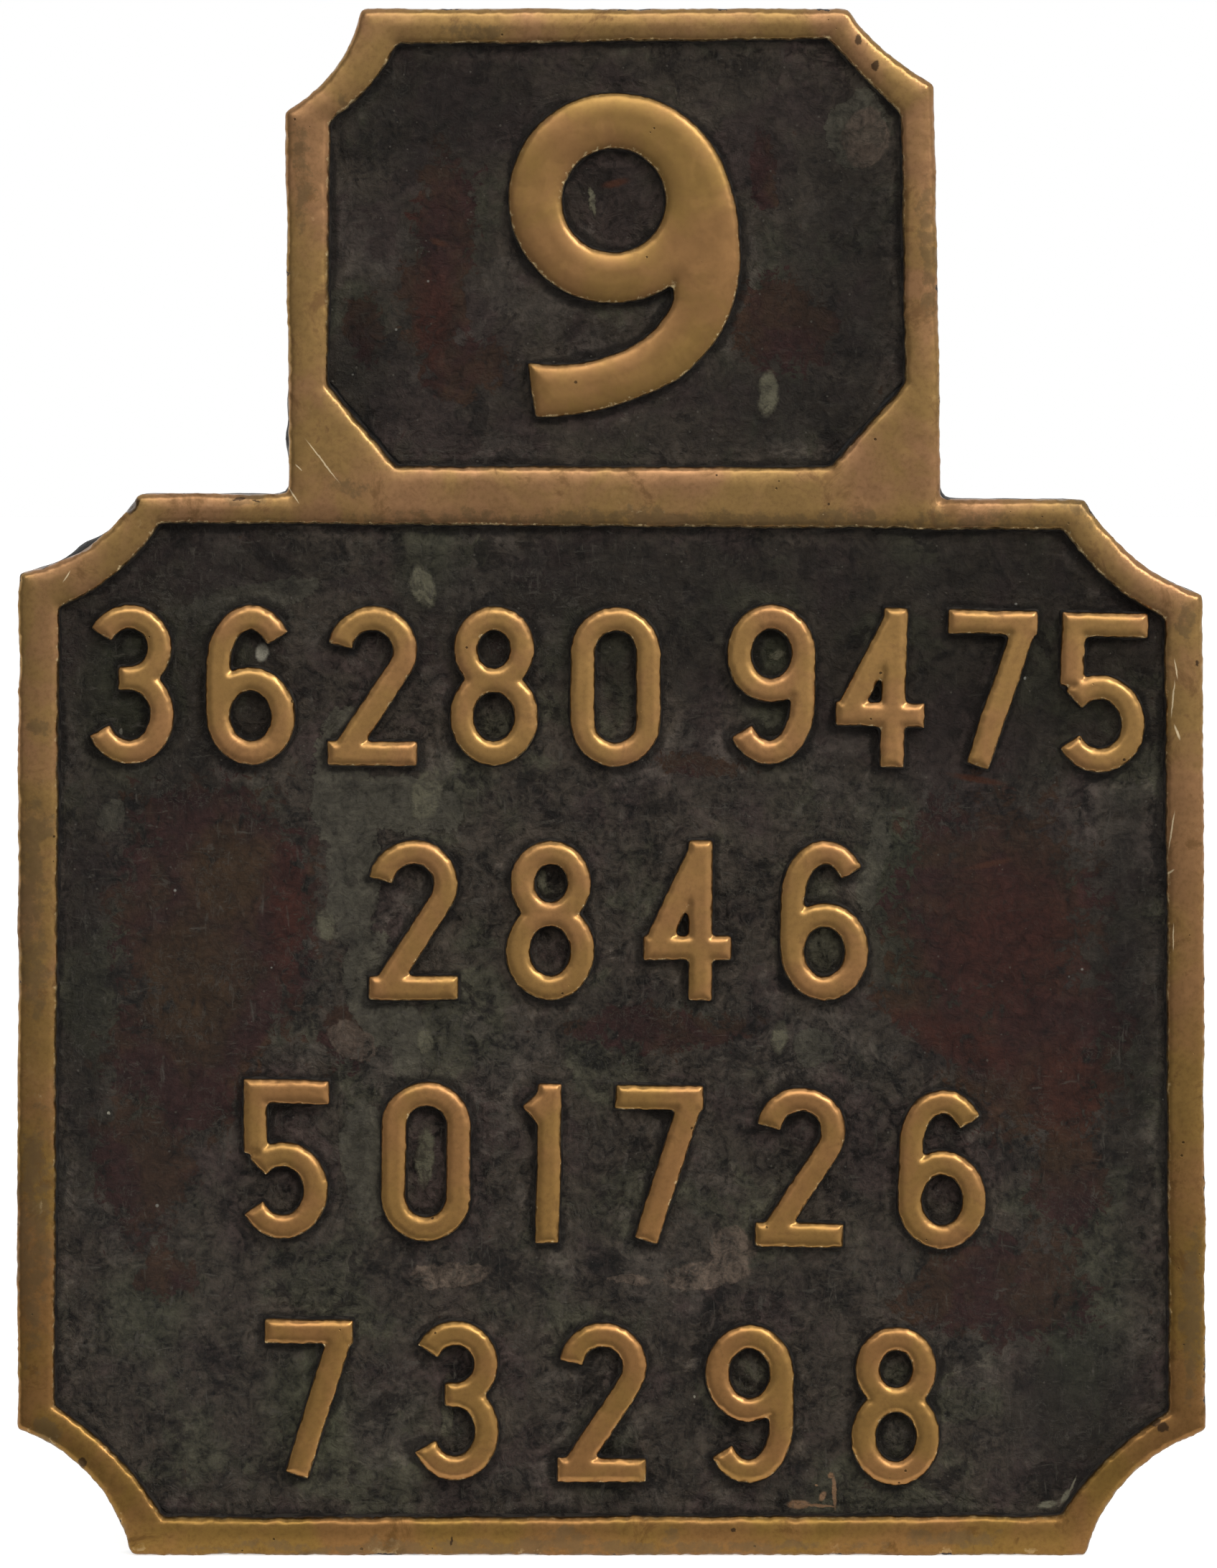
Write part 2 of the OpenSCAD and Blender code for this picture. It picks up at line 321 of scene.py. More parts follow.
def raise_relief(name, node, voxel, rounds, reach, drop, wavy, ragged, wander, bites=()):
    """A worn copy of a raised node, softened over by rounds of smoothing.

    Its top falls by drop within reach of its edges. Ragged, wander and wavy are the height
    of the lumps in its edges, its outline and its faces. All but rounds are in mm.
    """
    wire = crown_outline(node)
    piece = take_copy(name, [node])
    for point in piece.data.vertices:
        if abs(point.co.y - LEDGE * MM) < 0.05 * MM:
            point.co.y = CROWN * MM
    for bite in bites:
        cutter = small_lump(*bite)
        work(piece, "BOOLEAN", operation="DIFFERENCE", solver="EXACT", object=cutter)
        bpy.data.objects.remove(cutter)
    work(piece, "REMESH", mode="VOXEL", voxel_size=voxel * MM)
    work(piece, "SMOOTH", factor=0.5, iterations=rounds)
    work(piece, "SMOOTH", factor=0.5, iterations=4, use_y=False)
    edge = piece.vertex_groups.new(name="edge")
    edge.add(range(len(piece.data.vertices)), 0.0, "REPLACE")
    work(
        piece, "VERTEX_WEIGHT_PROXIMITY", vertex_group="edge", target=wire,
        proximity_mode="GEOMETRY", proximity_geometry={"EDGE"}, falloff_type="SHARP",
        min_dist=reach * MM, max_dist=0,
    )
    work(piece, "DISPLACE", vertex_group="edge", direction="Y", strength=drop * MM, mid_level=0)
    for axis, size in (("X", 0.9), ("Z", 0.8)):
        roughen(piece, size=size, depth=2, height=ragged, vertex_group="edge", direction=axis)
    for axis, size in (("X", 7), ("Z", 5)):
        roughen(piece, size=size, depth=2, height=wander, direction=axis)
    roughen(piece, size=6, depth=1, height=wavy)
    roughen(piece, size=1.2, depth=1, height=wavy / 4)
    bpy.data.objects.remove(wire)
    finish_mesh(piece)
    return piece


def mark_near(piece, label, walls, near, far, fall="LINEAR"):
    """Weighs each point of a piece by how near it is to some walls: 1 at near, 0 at far."""
    group = piece.vertex_groups.new(name=label)
    group.add(range(len(piece.data.vertices)), 0.0, "REPLACE")
    work(
        piece, "VERTEX_WEIGHT_PROXIMITY", vertex_group=label, target=walls,
        proximity_mode="GEOMETRY", proximity_geometry={"FACE"}, falloff_type=fall,
        min_dist=far * MM, max_dist=near * MM,
    )


def keep_weight(piece, label, name):
    """Keeps a weight as an attribute that a finish can read."""
    kept = piece.data.attributes.new(name, "FLOAT", "POINT")
    index = piece.vertex_groups[label].index
    for point in piece.data.vertices:
        kept.data[point.index].value = next(g.weight for g in point.groups if g.group == index)


# Dents in the border, given as the flash is.
BITES = [(-47.2, -6.8, 27.3, 0.4, 1.3, 0.75, 30), (-52.4, -6.4, 23.15, 1.5, 1.6, 0.5, -18),
         (-56.2, -6.6, 21.5, 0.45, 1.2, 0.5, 0), (-36.4, -7.2, 28.55, 0.8, 0.5, 0.22, 0)]
border = raise_relief("worn_border", "raised_border", voxel=0.3, rounds=3, reach=2.0, drop=0.2,
                      wavy=0.1, ragged=0.48, wander=0.3, bites=BITES)
panels = take_copy("panels", ["legend_panel_paint", "number_panel_paint"])
mark_near(border, "away from paint", panels, near=2.9, far=2.3)
keep_weight(border, "away from paint", "outside")
bpy.data.objects.remove(panels)


def new_group(name, inputs, outputs):
    """A shader node group with these named sockets; returns its tree, inputs and outputs."""
    group = bpy.data.node_groups.new(name, "ShaderNodeTree")
    for label, kind in inputs:
        group.interface.new_socket(label, in_out="INPUT", socket_type=kind)
    for label, kind in outputs:
        group.interface.new_socket(label, in_out="OUTPUT", socket_type=kind)
    entry = group.nodes.new("NodeGroupInput").outputs
    leave = group.nodes.new("NodeGroupOutput").inputs
    return group, entry, leave


def fill(tree, group, inputs):
    """Places a group in a tree, fills in its sockets and returns its outputs."""
    node = tree.nodes.new("ShaderNodeGroup")
    node.node_tree = group
    for socket, value in inputs.items():
        if isinstance(value, bpy.types.NodeSocket):
            tree.links.new(value, node.inputs[socket])
        else:
            node.inputs[socket].default_value = value
    return node.outputs


NUMBER, VECTOR, COLOUR = "NodeSocketFloat", "NodeSocketVector", "NodeSocketColor"

# The ragged line where polished metal stops and the paint on the walls begins, and the
# thin lip beside it that every rub of the cloth has caught, lightened by a painted highlight
# that is brightest where it looks down.
paint_edge, entry, leave = new_group(
    "paint edge", [("Place", VECTOR), ("Outside", NUMBER)],
    [("Bare", NUMBER), ("Fringe", NUMBER), ("Lip highlight", NUMBER)],
)
spot = entry["Place"]
depth = add_node(paint_edge, "ShaderNodeSeparateXYZ", {0: spot}).outputs[1]
rag = minus(paint_edge, noise(paint_edge, spot, 0.6, detail=5, rough=0.68), 0.5)
left = minus(paint_edge, noise(paint_edge, spot, 4, detail=4, rough=0.7), 0.61)
left = times_plus(paint_edge, left, -30.0, 0.5)
worn = times_plus(paint_edge, entry["Outside"], left, PAINT_LINE)
worn = maths(paint_edge, "MAXIMUM", worn, PAINT_TOP)
above = minus(paint_edge, worn, plus(paint_edge, depth, rag))
paint_edge.links.new(grade(paint_edge, above, -0.02, 0.03), leave["Bare"])
paint_edge.links.new(grade(paint_edge, above, 0.02, 0.07, 1, 0), leave["Fringe"])
# Painted highlight: the lip is lightened most where the surface faces down.
facing = add_node(paint_edge, "ShaderNodeNewGeometry").outputs["Normal"]
facing = add_node(paint_edge, "ShaderNodeSeparateXYZ", {0: facing}).outputs[2]
lip_highlight = times(paint_edge, grade(paint_edge, above, 0.04, 0.08),
            grade(paint_edge, above, 0.2, 0.4, 1, 0))
for share in (
    grade(paint_edge, noise(paint_edge, spot, 2.2, detail=4, rough=0.7), 0.32, 0.52),
    grade(paint_edge, facing, 0.1, -0.3, 0.15, 1),
    times_plus(paint_edge, entry["Outside"], -0.85, 1.0),
):
    lip_highlight = times(paint_edge, lip_highlight, share)
paint_edge.links.new(lip_highlight, leave["Lip highlight"])


def cells(tree, place, size):
    """Cells about this size in mm: how far it is to the middle of one, and its luck."""
    cell = add_node(tree, "ShaderNodeTexVoronoi", {"Vector": place, "Scale": 1 / size}).outputs
    luck = add_node(tree, "ShaderNodeTexWhiteNoise", {"Vector": cell["Position"]}).outputs[0]
    return cell[0], luck


# Polished brass that has dulled: clouds of gold and copper, brown stains and fine wear.
old_brass, entry, leave = new_group(
    "old brass",
    [("Place", VECTOR), ("Gold", COLOUR), ("Copper", COLOUR), ("Staining", NUMBER),
     ("Grain", NUMBER)],
    [("Colour", COLOUR), ("Roughness", NUMBER), ("Height", NUMBER)],
)
STAIN_BROWN = (0.16, 0.085, 0.036)
PIT_BLACK = (0.04, 0.025, 0.014)
spot = entry["Place"]
clouds = noise(old_brass, spot, 9, detail=5, rough=0.55, twist=0.4)
tone = blend(old_brass, grade(old_brass, clouds, 0.4, 0.62), entry["Gold"], entry["Copper"])
fine = noise(old_brass, spot, 0.5, detail=6, rough=0.75)
tone = layer(old_brass, tone, grade(old_brass, fine, 0.58, 0.32), entry["Grain"], STAIN_BROWN)
stains = noise(old_brass, spot, 4.2, detail=8, rough=0.7, twist=0.6)
tone = layer(old_brass, tone, grade(old_brass, stains, 0.54, 0.66), entry["Staining"],
             STAIN_BROWN)
away, luck = cells(old_brass, spot, 4 / 3)
uneven = times_plus(old_brass, fine, 0.05, away)
pit = minus(old_brass, grade(old_brass, luck, 0.8, 1.0, 0, 0.12), uneven)
pit = grade(old_brass, pit, -0.03, 0.0)
tone = layer(old_brass, tone, pit, 0.8, PIT_BLACK)
old_brass.links.new(tone, leave["Colour"])
old_brass.links.new(grade(old_brass, stains, 0.42, 0.7, 0.3, 0.46), leave["Roughness"])
old_brass.links.new(minus(old_brass, times(old_brass, fine, 0.12), pit), leave["Height"])

# A stain, scratch, chip or flake at a given place: an oval, which a ragged place turns into a
# ragged patch.
patch, entry, leave = new_group(
    "patch",
    [("Place", VECTOR), ("Middle", VECTOR), ("Turn", NUMBER), ("Shrink", VECTOR),
     ("Softness", NUMBER)],
    [("Mask", NUMBER)],
)
away = add_node(
    patch, "ShaderNodeVectorMath", {0: entry["Place"], 1: entry["Middle"]}, operation="SUBTRACT"
).outputs[0]
away = add_node(
    patch, "ShaderNodeVectorRotate", {"Vector": away, "Angle": entry["Turn"]},
    rotation_type="Y_AXIS",
).outputs[0]
away = add_node(
    patch, "ShaderNodeVectorMath", {0: away, 1: entry["Shrink"]}, operation="MULTIPLY"
).outputs[0]
away = add_node(patch, "ShaderNodeVectorMath", {0: away}, operation="LENGTH").outputs[1]
mask = grade(patch, away, minus(patch, 1.0, entry["Softness"]),
             plus(patch, 1.0, entry["Softness"]), 1, 0)
patch.links.new(mask, leave["Mask"])


def make_ragged(tree, place, amount, size):
    """Shakes places by noise, so that what is drawn there gets ragged edges."""
    shake = add_node(
        tree, "ShaderNodeTexNoise",
        {"Vector": place, "Scale": 1 / size, "Detail": 6.0, "Roughness": 0.68},
    ).outputs[1]
    shake = add_node(
        tree, "ShaderNodeVectorMath", {0: shake, 1: (0.5, 0.5, 0.5)}, operation="SUBTRACT"
    ).outputs[0]
    shake = add_node(
        tree, "ShaderNodeVectorMath", {0: shake, "Scale": 2 * amount}, operation="SCALE"
    ).outputs[0]
    return add_node(
        tree, "ShaderNodeVectorMath", {0: place, 1: shake}, operation="ADD"
    ).outputs[0]


def patches(tree, place, spots, softness):
    """The union of several patches, each given as x, z, half width, half height, turn."""
    total = 0.0
    for x, z, wide, tall, turn in spots:
        one = fill(tree, patch, {
            "Place": place, "Middle": (x, 0, z), "Turn": math.radians(-turn),
            "Shrink": (1 / wide, 0, 1 / tall), "Softness": softness,
        })["Mask"]
        total = maths(tree, "MAXIMUM", total, one)
    return total


WALL_BLACK = (0.011, 0.009, 0.008)
WALL_BROWN = (0.045, 0.025, 0.015)
WALL_GREY = (0.044, 0.037, 0.03)
WALL_ROUGHNESS = 0.6
FRINGE_BROWN = (0.09, 0.045, 0.02)
LIP_HIGHLIGHT_GOLD = (1.0, 0.78, 0.42)
BOTTOM_DARK_TINT = (0.74, 0.7, 0.5)
TARNISH_AND_SHADE_BROWN = (0.14, 0.092, 0.045)
MARK_BLACK = (0.035, 0.022, 0.014)
SCRATCH_GOLD = (0.9, 0.72, 0.45)


def brass_finish(name, gold, copper, staining, grain, bottom_darkening, tarnish_and_shade=(), dark=(), scratched=()):
    """Worn brass down to the paint line, and old black paint below it."""
    finish, tree, shader = new_finish(name, metallic=1.0, roughness=0.46, specular=0.3)
    mm = place_in_mm(tree)
    brass = fill(tree, old_brass, {
        "Place": mm, "Gold": (*gold, 1), "Copper": (*copper, 1), "Staining": staining,
        "Grain": grain,
    })
    place = add_node(tree, "ShaderNodeSeparateXYZ", {0: mm}).outputs
    # The brass is made darker and more olive towards the bottom of the plate.
    low_down = times_plus(tree, noise(tree, mm, 22, detail=3, rough=0.6), 40.0, place[2])
    low_down = grade(tree, low_down, 45, -50, 0.0, bottom_darkening)
    tone = blend(tree, low_down, brass["Colour"], BOTTOM_DARK_TINT, "MULTIPLY")
    # Brown tarnish patches, and long bands of painted shade along edges that face down.
    if tarnish_and_shade:
        speckled = minus(tree, noise(tree, mm, 1.2, detail=7, rough=0.72), 0.5)
        spots = patches(tree, make_ragged(tree, mm, amount=2, size=5), tarnish_and_shade, 0.6)
        spots = times_plus(tree, speckled, 2.6, spots)
        tone = blend(tree, grade(tree, spots, 0.55, 1.05, 0, 0.6), tone, TARNISH_AND_SHADE_BROWN)
    if dark:
        spots = patches(tree, make_ragged(tree, mm, amount=0.4, size=0.8), dark, 0.2)
        tone = layer(tree, tone, spots, 0.85, MARK_BLACK)
    if scratched:
        lines = patches(tree, make_ragged(tree, mm, amount=0.16, size=1.2), scratched, 0.35)
        tone = layer(tree, tone, lines, 0.75, SCRATCH_GOLD)
    outside = add_node(tree, "ShaderNodeAttribute", attribute_name="outside").outputs["Fac"]
    edge = fill(tree, paint_edge, {"Place": mm, "Outside": outside})
    # Painted highlight: bright gold along the lip beside the paint line.
    tone = layer(tree, tone, edge["Lip highlight"], 0.9, LIP_HIGHLIGHT_GOLD)
    tone = blend(tree, edge["Fringe"], tone, FRINGE_BROWN)
    wall = times_plus(tree, noise(tree, mm, 0.8, detail=4, rough=0.7), 0.9, place[1])
    wall = blend(tree, grade(tree, wall, -5.4, -5.85), WALL_BLACK, WALL_BROWN)
    mottled = noise(tree, mm, 1.4, detail=6, rough=0.72, twist=0.8)
    wall = blend(tree, grade(tree, mottled, 0.46, 0.56, 0, 0.75), wall, WALL_GREY)
    tone = blend(tree, edge["Bare"], wall, tone)
    tree.links.new(tone, shader.inputs["Base Color"])
    tree.links.new(edge["Bare"], shader.inputs["Metallic"])
    smoother = minus(tree, brass["Roughness"], WALL_ROUGHNESS)
    rough = times_plus(tree, edge["Bare"], smoother, WALL_ROUGHNESS)
    tree.links.new(rough, shader.inputs["Roughness"])
    set_relief(tree, shader, plus(tree, brass["Height"], edge["Bare"]), depth=0.03)
    return finish


# Marks listed one by one: x, z, half width, half height in mm, and turn in degrees.
# The last two marks are long bands of painted shade, along the lower edge of the bar between the
# panels and along the bottom edge of the plate; the others are tarnish.
TARNISH_AND_SHADE = [(-57, -12, 1.8, 14, 0), (-57, -44, 2.2, 14, 0), (-4.2, -74.2, 2.2, 0.9, 0),
           (5.6, -74, 1.2, 0.8, 0), (-55.5, -64, 1.6, 1.5, 40), (33, -74.5, 6, 0.8, 0),
           (57.2, -52, 1.2, 10, 0), (-36, 27.9, 3, 0.9, 0), (-25.6, 29, 2, 1.0, 0),
           (-30.5, 60, 1.0, 6, 0), (31, 52, 1.0, 8, 0), (-14, 74, 4, 0.9, 0),
           (46, 27.5, 3, 0.8, 0), (-50, -72, 3, 1.6, 40), (-56.2, 5.7, 0.9, 1.2, 0),
           (-55.7, -4.4, 1.2, 1.6, 0), (-26.2, 67.6, 0.9, 1.0, 0), (56.5, 16, 1.2, 2, 0),
           (8, 25.7, 46, 1.5, 0), (-8, -75.4, 40, 0.9, 0)]
DARK_MARKS = [(-52.2, -66.9, 0.45, 0.5, 0), (-15.8, -74.7, 0.12, 0.5, 0),
              (24.2, 73.1, 0.3, 0.55, -10), (25.9, 70.6, 0.3, 0.5, 20),
              (-47.0, 27.4, 0.45, 0.9, 35), (-55.9, 21.6, 0.6, 0.35, 0),
              (-36.6, 28.1, 0.7, 0.12, 0), (-34.8, 27.9, 0.4, 0.1, 0), (12, -73.6, 0.25, 0.2, 0),
              (57.6, 12, 0.2, 0.3, 0), (54.4, -63.4, 0.55, 0.5, 0), (53.7, -63.0, 0.3, 0.6, 60)]
SCRATCHES = [(-28.4, 31.9, 0.07, 2.3, -38), (-31.2, 28.5, 0.07, 0.85, -35),
             (-30.7, 31.2, 0.06, 0.4, -45), (55.2, 8.5, 0.08, 1.6, 5),
             (55.6, 5.2, 0.12, 0.7, -20), (55.1, -4.5, 0.08, 1.7, 8), (54.9, -8.6, 0.1, 0.5, 60),
             (55.3, -15, 0.06, 1.2, 0), (-53.5, 20.5, 0.06, 0.6, 30), (55.5, 11.4, 0.07, 0.9, -8)]
border_brass = brass_finish(
    "border_brass", gold=(0.3, 0.18, 0.065), copper=(0.322, 0.172, 0.081), staining=0.8,
    grain=0.38, bottom_darkening=0.95, tarnish_and_shade=TARNISH_AND_SHADE, dark=DARK_MARKS, scratched=SCRATCHES,
)
border.data.materials.append(border_brass)
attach(border, "root")
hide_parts("raised_border")


# The lever number, a raised 9 cast with the plate. Its broad top has been rubbed the most,
# so it is cleaner than the border and falls away softly round its edges.
number = raise_relief("worn_lever_number", "lever_number", voxel=0.2, rounds=5, reach=2.2,
                      drop=0.24, wavy=0.025, ragged=0.16, wander=0.2)
number_brass = brass_finish(
    "number_brass", gold=(0.287, 0.167, 0.053), copper=(0.298, 0.157, 0.061), staining=0.2,
    grain=0.18, bottom_darkening=0.7,
)
number.data.materials.append(number_brass)
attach(number, "root")
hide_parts("lever_number")


# The small raised figures, a separate wooden pattern letter for each when the mould was
# made. Polishing has rounded the edges of their narrow strokes and left the tops flat.
figure_brass = brass_finish(
    "figure_brass", gold=(0.385, 0.218, 0.074), copper=(0.405, 0.208, 0.084), staining=0.4,
    grain=0.25, bottom_darkening=0.45,
)
figure_nodes = sorted(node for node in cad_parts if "_figure_" in node)
for node in figure_nodes:
    figure = raise_relief("worn_" + node, node, voxel=0.17, rounds=4, reach=1.0, drop=0.17,
                          wavy=0.07, ragged=0.42, wander=0.25)
    figure.data.materials.append(figure_brass)
    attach(figure, "root")
    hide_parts(node)


# Old black paint, brushed thickly into both panels round the feet of what stands there.
# It has aged to a lumpy, mottled skin with brown, green and grey patches.
PAINT_STEP = 0.38  # mm between the points of a sheet
PAINT_BACK = -4.6  # y of its flat back, in mm
PAINT_FRONT = -4.98  # y of its front, before the lumps
GUTTER = 0.08  # mm that it sinks a little way off the walls
CLIMB = 0.32  # mm that it creeps up them


def brush_paint(name, node, walls, cuts):
    """A lumpy sheet of paint that fills a panel, closed behind with one flat face."""
    low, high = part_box(node)
    spread = 0.45 * MM
    wide, tall = high.x - low.x + 2 * spread, high.z - low.z + 2 * spread
    bpy.ops.object.select_all(action="DESELECT")
    bpy.ops.mesh.primitive_grid_add(
        x_subdivisions=round(wide / MM / PAINT_STEP), y_subdivisions=round(tall / MM / PAINT_STEP),
        size=1, location=((low.x + high.x) / 2, PAINT_FRONT * MM, (low.z + high.z) / 2),
        rotation=(math.pi / 2, 0, 0),
    )
    sheet = bpy.context.object
    sheet.name = name
    sheet.data.name = name
    sheet.scale = (wide, tall, 1)
    bpy.ops.object.transform_apply(location=True, rotation=True, scale=True)
    bpy.ops.object.mode_set(mode="EDIT")
    for x, z, across, up in cuts:
        bpy.ops.mesh.select_all(action="SELECT")
        bpy.ops.mesh.bisect(
            plane_co=(x * MM, 0, z * MM), plane_no=(across, 0, up), clear_outer=True
        )
    bpy.ops.object.mode_set(mode="OBJECT")
    target = take_copy("walls", walls)
    mark_near(sheet, "gap", target, near=0.0, far=3.0)
    mark_near(sheet, "round walls", target, near=0.6, far=1.5, fall="SMOOTH")
    work(sheet, "DISPLACE", vertex_group="round walls", direction="Y", strength=GUTTER * MM,
         mid_level=0)
    mark_near(sheet, "on walls", target, near=0.0, far=0.6, fall="SMOOTH")
    work(sheet, "DISPLACE", vertex_group="on walls", direction="Y", strength=-CLIMB * MM,
         mid_level=0)
    bpy.data.objects.remove(target)
    roughen(sheet, size=5, depth=2, height=0.16)
    roughen(sheet, size=1.7, depth=2, height=0.26)
    keep_weight(sheet, "gap", "wall_nearness")
    bpy.ops.object.select_all(action="DESELECT")
    sheet.select_set(True)
    bpy.context.view_layer.objects.active = sheet
    bpy.ops.object.mode_set(mode="EDIT")
    bpy.ops.mesh.select_all(action="DESELECT")
    bpy.context.tool_settings.mesh_select_mode = (False, True, False)
    bpy.ops.mesh.select_non_manifold()
    bpy.ops.mesh.extrude_edges_move(TRANSFORM_OT_translate={"value": (0, 0.2 * MM, 0)})
    bpy.ops.transform.resize(value=(1, 0, 1), center_override=(0, PAINT_BACK * MM, 0))
    bpy.ops.mesh.edge_face_add()
    bpy.ops.mesh.select_all(action="SELECT")
    bpy.ops.mesh.normals_make_consistent(inside=False)
    bpy.ops.object.mode_set(mode="OBJECT")
    finish_mesh(sheet)
    return sheet


# The cut corners of each panel: x and z of a point in mm, and the direction out.
LEGEND_CUTS = [(-54.8, 17.9, -0.66, 0.75), (54.6, 17.0, 0.66, 0.75),
               (54.9, -61.6, 0.7, -0.71), (-54.9, -61.2, -0.7, -0.71)]
NUMBER_CUTS = [(-27.6, 65.3, -0.75, 0.66), (28.4, 65.9, 0.71, 0.7),
               (28.9, 40.0, 0.74, -0.67), (-27.9, 39.9, -0.76, -0.65)]
legend_paint = brush_paint(
    "brushed_legend_paint", "legend_panel_paint", ["raised_border", *figure_nodes], LEGEND_CUTS
)
number_paint = brush_paint(
    "brushed_number_paint", "number_panel_paint", ["raised_border", "lever_number"], NUMBER_CUTS
)

# Patches listed one by one, given as the border's marks are.
UNDERCOAT = [(-39, -13, 10.5, 13, 0), (-42, -27, 8, 8, 10), (-46, -38, 5, 7, 0),
             (37.5, -13, 10.5, 12.5, 0), (42.5, -27, 8.5, 9, 0), (45, -39, 4, 6, 0),
             (34, -24, 8, 3, 25), (38, -50, 9, 5, 0), (5, -24.5, 9, 2.2, 0),
             (-17, 51, 3.4, 11, 4), (-14.5, 41, 5, 3, 0), (17.5, 45, 5, 5, -20),
             (-41, -2.5, 6, 2, 0), (9, 1.8, 4.5, 1.5, 10), (14.5, 60, 1.6, 4, 0),
             (-26, -25, 2.6, 3.4, 20), (-44, -49, 3, 2.4, 0), (-24, 45, 2, 3.6, 0)]
DEEP_RED = [(39, -16, 7, 8, 10), (34, -25, 7, 2, 25), (-17.6, 45, 1.5, 5, 0),
            (-32, -13, 1.8, 7, 0), (-20, 57, 1.3, 3.5, 0), (45, -30, 4, 5, 0)]
OLD_ORANGE = [(-42, -20, 5, 6, 0), (-38, -9, 4, 4, 0), (44, -33, 5, 6, 0), (28, -19, 3, 4, 0)]
GREY_STREAKS = [(-26.6, 1, 3, 7, 6), (-25.4, -9, 2.8, 8, 0), (-23.4, -20, 3.0, 6, -8),
                (-20, -26, 1.6, 4, 0), (-24, -37, 2.6, 6, -4), (-20, -2, 6, 3, 10),
                (24.2, 64.5, 3.0, 4.2, 20), (-49.5, -3, 1.2, 1.8, 0), (-36, 18, 7, 1.6, -12),
                (-47, 2, 1.5, 1, 0), (20, -26, 2, 2, 0), (26, -8, 1.2, 5, 10)]
GREEN_TINTS = [(-46, -52, 4, 5, 10), (-30, -62, 4, 5, 0), (47, -52, 4, 9, 10), (-1, -66, 3, 4, 0),
               (28, -9, 3, 9, 0), (-18, 24, 3, 6, 10), (-48, 8, 4, 8, 0), (16, 8, 3, 8, 0)]
SMOOTH_PAINT = [(0, 52, 32, 24, 0), (34, 14, 26, 14, 0), (38, -16, 14, 12, 0)]
DARKER_BY_BORDER = [(38, 14, 22, 13, 0), (-44, 12, 12, 13, 0), (0, 17, 24, 8, 0), (46, -62, 6, 8, 0),
               (-40, 22, 12, 4, 0), (20, 37, 10, 4, 0), (-18, 67, 11, 6, 0), (24, 50, 5, 14, 0),
               (-25, 40, 4, 8, 0), (51, -20, 3, 20, 0), (-52, -20, 2.5, 20, 0)]
FLESH_FLAKES = [(-25.6, -25.4, 2.6, 1.6, 30), (-16, -48.6, 4.2, 1.3, -4),
                (9.5, -48.6, 4.4, 1.5, -6), (12, -46, 2.4, 2.2, 30), (2, -49, 2.2, 0.5, 0),
                (25, 63.5, 2.2, 3.0, 15)]
PALE_SPOTS = [(-18.6, 19.6, 1.1, 2.1, -13), (-18.2, -1.0, 1.4, 2.45, 14),
              (15.35, 38.5, 0.95, 2.1, 3), (16.3, 12.7, 0.8, 0.5, -10),
              (-28.2, -13.9, 0.9, 1.5, -12), (16.6, -25, 0.8, 1.6, 8),
              (-18.4, -36.9, 0.9, 2.8, 3), (-16.2, -61.6, 0.6, 3.0, 3), (-6.9, -9.5, 0.5, 1.2, 0),
              (20.9, -13.5, 0.5, 1.5, 0), (-1.9, 57.3, 0.3, 1.3, -8), (-18.4, -25.5, 0.7, 1.2, 0)]
WHITE_CHIPS = [(-34.4, 13.0, 0.6, 0.85, 10), (-48.3, 5.2, 0.2, 0.3, 0),
               (-47.6, 4.4, 0.14, 0.2, 0), (-45.4, 8.6, 0.14, 0.14, 0),
               (-49.6, -32.5, 0.16, 0.16, 0), (8.2, -60.6, 0.14, 0.14, 0)]
RED_MARKS = [(37.2, -7.9, 2.2, 0.3, -12), (0.4, 59.1, 1.2, 0.35, -12), (-17, 53.3, 0.8, 0.3, 20),
             (36, 0.5, 2.5, 0.3, 10)]
COPPER_CHIPS = [(22.05, -70.0, 0.2, 1.65, -3), (21.7, -68.4, 0.28, 0.28, 0),
                (20.9, -70.5, 0.3, 0.5, 25), (20.3, -69.4, 0.16, 0.1, 0),
                (20.3, -71.4, 1.8, 0.13, 4), (18.5, -71.3, 1.05, 0.42, 0)]
CREAM_CHIPS = [(43.1, -71.3, 0.95, 0.32, -8), (44.9, -70.5, 0.25, 0.72, 32),
               (45.6, -69.4, 0.08, 0.9, 25)]
BROWN_BLACK = (0.039, 0.0305, 0.0225)
PLUM_BLACK = (0.035, 0.0245, 0.0205)
OLIVE_BLACK = (0.044, 0.04, 0.026)
GREEN_BLACK = (0.04, 0.042, 0.024)
PITCH_BLACK = (0.012, 0.009, 0.007)
FLAKED_GREY = (0.066, 0.054, 0.043)
PLUM_BROWN = (0.03, 0.0125, 0.0105)
WARM_BROWN = (0.035, 0.0185, 0.0105)
ORANGE_BROWN = (0.038, 0.0205, 0.0095)
RED_BROWN = (0.042, 0.0125, 0.0078)
paint, tree, shader = new_finish("old_black_paint", metallic=0.0, roughness=0.55, specular=0.3)
mm = place_in_mm(tree)
coarse = noise(tree, mm, 2.6, detail=9, rough=0.72, twist=0.4)
broad = noise(tree, mm, 11, detail=6, rough=0.62, twist=0.3)
fine = noise(tree, mm, 0.42, detail=5, rough=0.72, twist=0.5)
crinkle = noise(tree, mm, 1.3, detail=6, rough=0.66, twist=1.4)
islands = noise(tree, mm, 5, detail=9, rough=0.7, twist=0.5)
flakes = noise(tree, mm, 8, detail=10, rough=0.66, twist=0.2)
speckle = noise(tree, mm, 1.5, detail=6, rough=0.72, twist=0.8)
speckled = minus(tree, speckle, 0.5)
shake = make_ragged(tree, mm, amount=2.2, size=5)
tone = blend(tree, grade(tree, broad, 0.5, 0.6), BROWN_BLACK, PLUM_BLACK)
